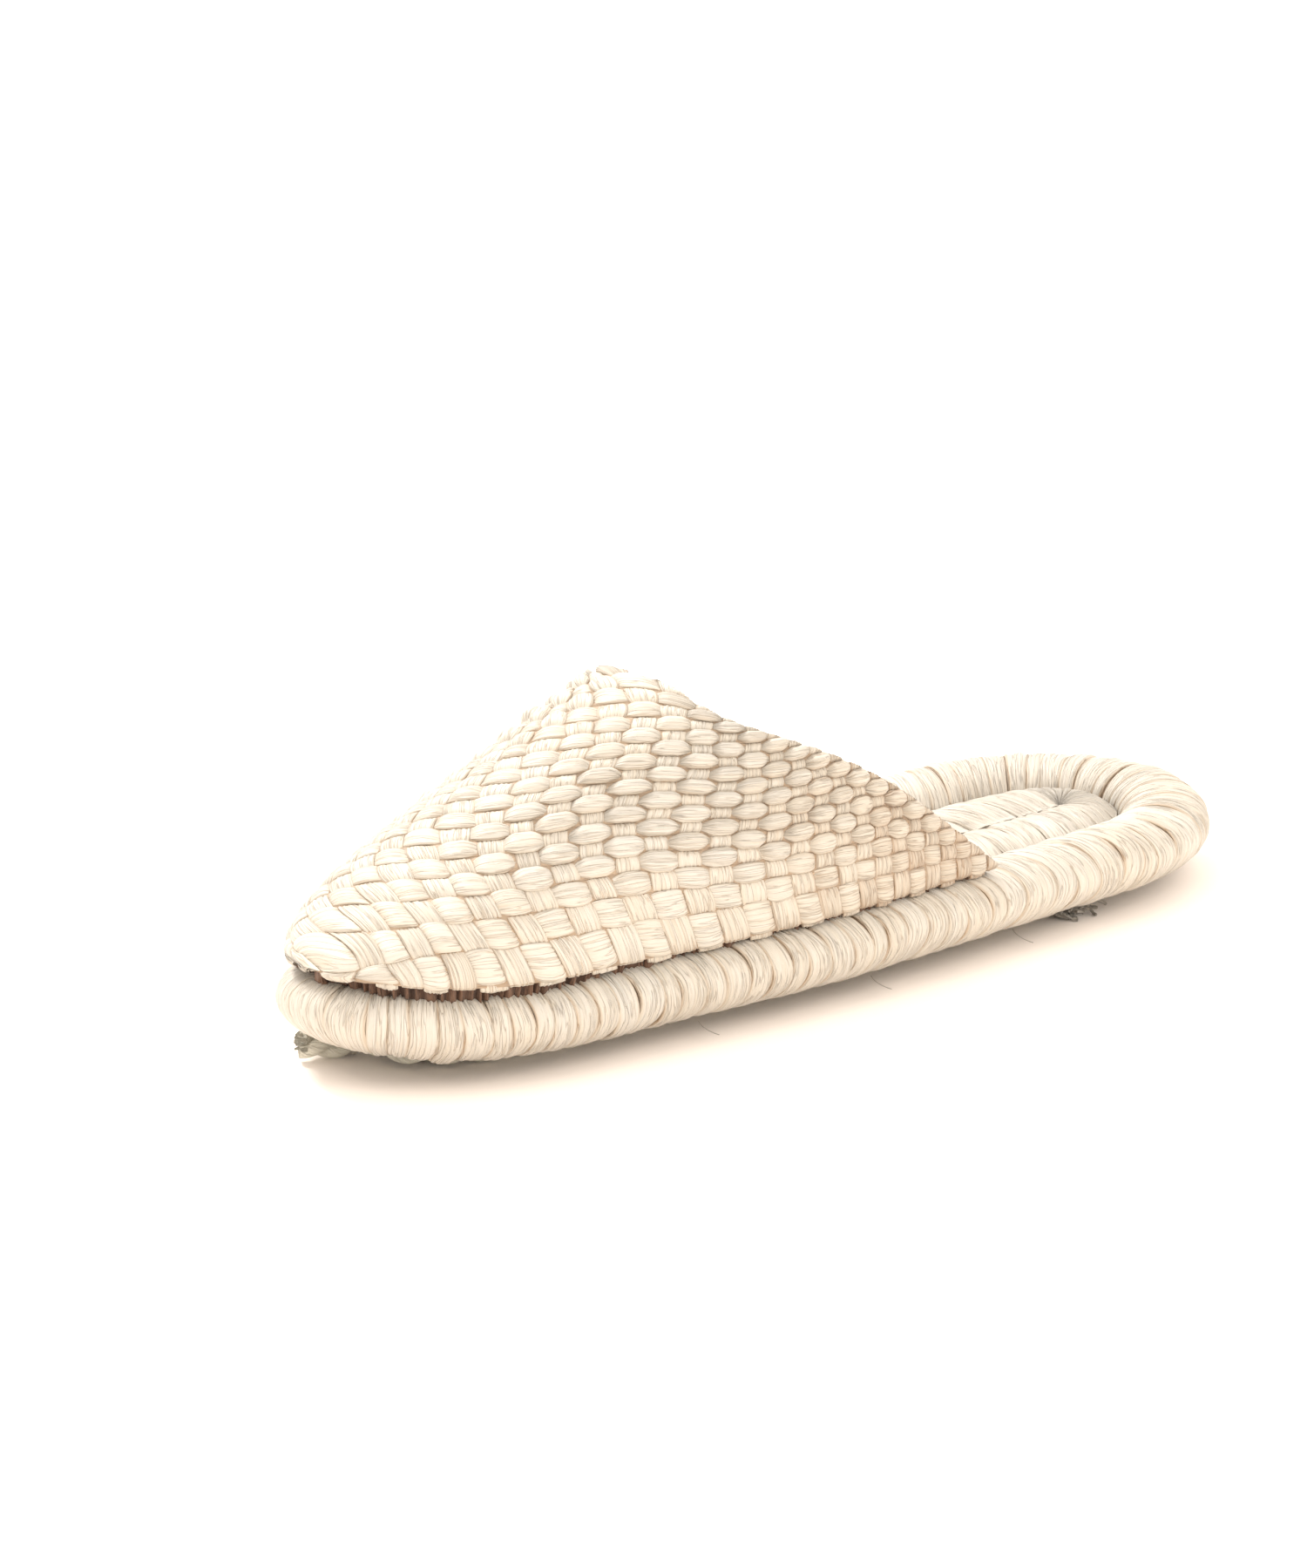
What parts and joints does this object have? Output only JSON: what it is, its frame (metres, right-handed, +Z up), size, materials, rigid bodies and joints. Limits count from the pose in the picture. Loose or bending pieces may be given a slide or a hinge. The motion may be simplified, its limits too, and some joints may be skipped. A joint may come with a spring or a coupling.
{
  "type": "corn husk slipper",
  "caption": "Backless slipper plaited from corn husk, with a woven closed-toe upper on a coiled, wrapped sole.",
  "frame": {"origin": "on the floor under the middle of the slipper's box", "axes": "+X toward the toe, +Y to the wearer's left, +Z up"},
  "size_m": [0.262, 0.085, 0.0725],
  "materials": {
    "husk": "satin",
    "husk_coil": "satin",
    "rush_rope": "matte"
  },
  "bodies": {
    "root": {"outsole_rope_mat": "rush_rope", "rim_roll": "husk", "footbed_coil": "husk_coil", "upper": "husk", "rope_end": "rush_rope", "rope_binding": "husk"}
  },
  "joints": []
}
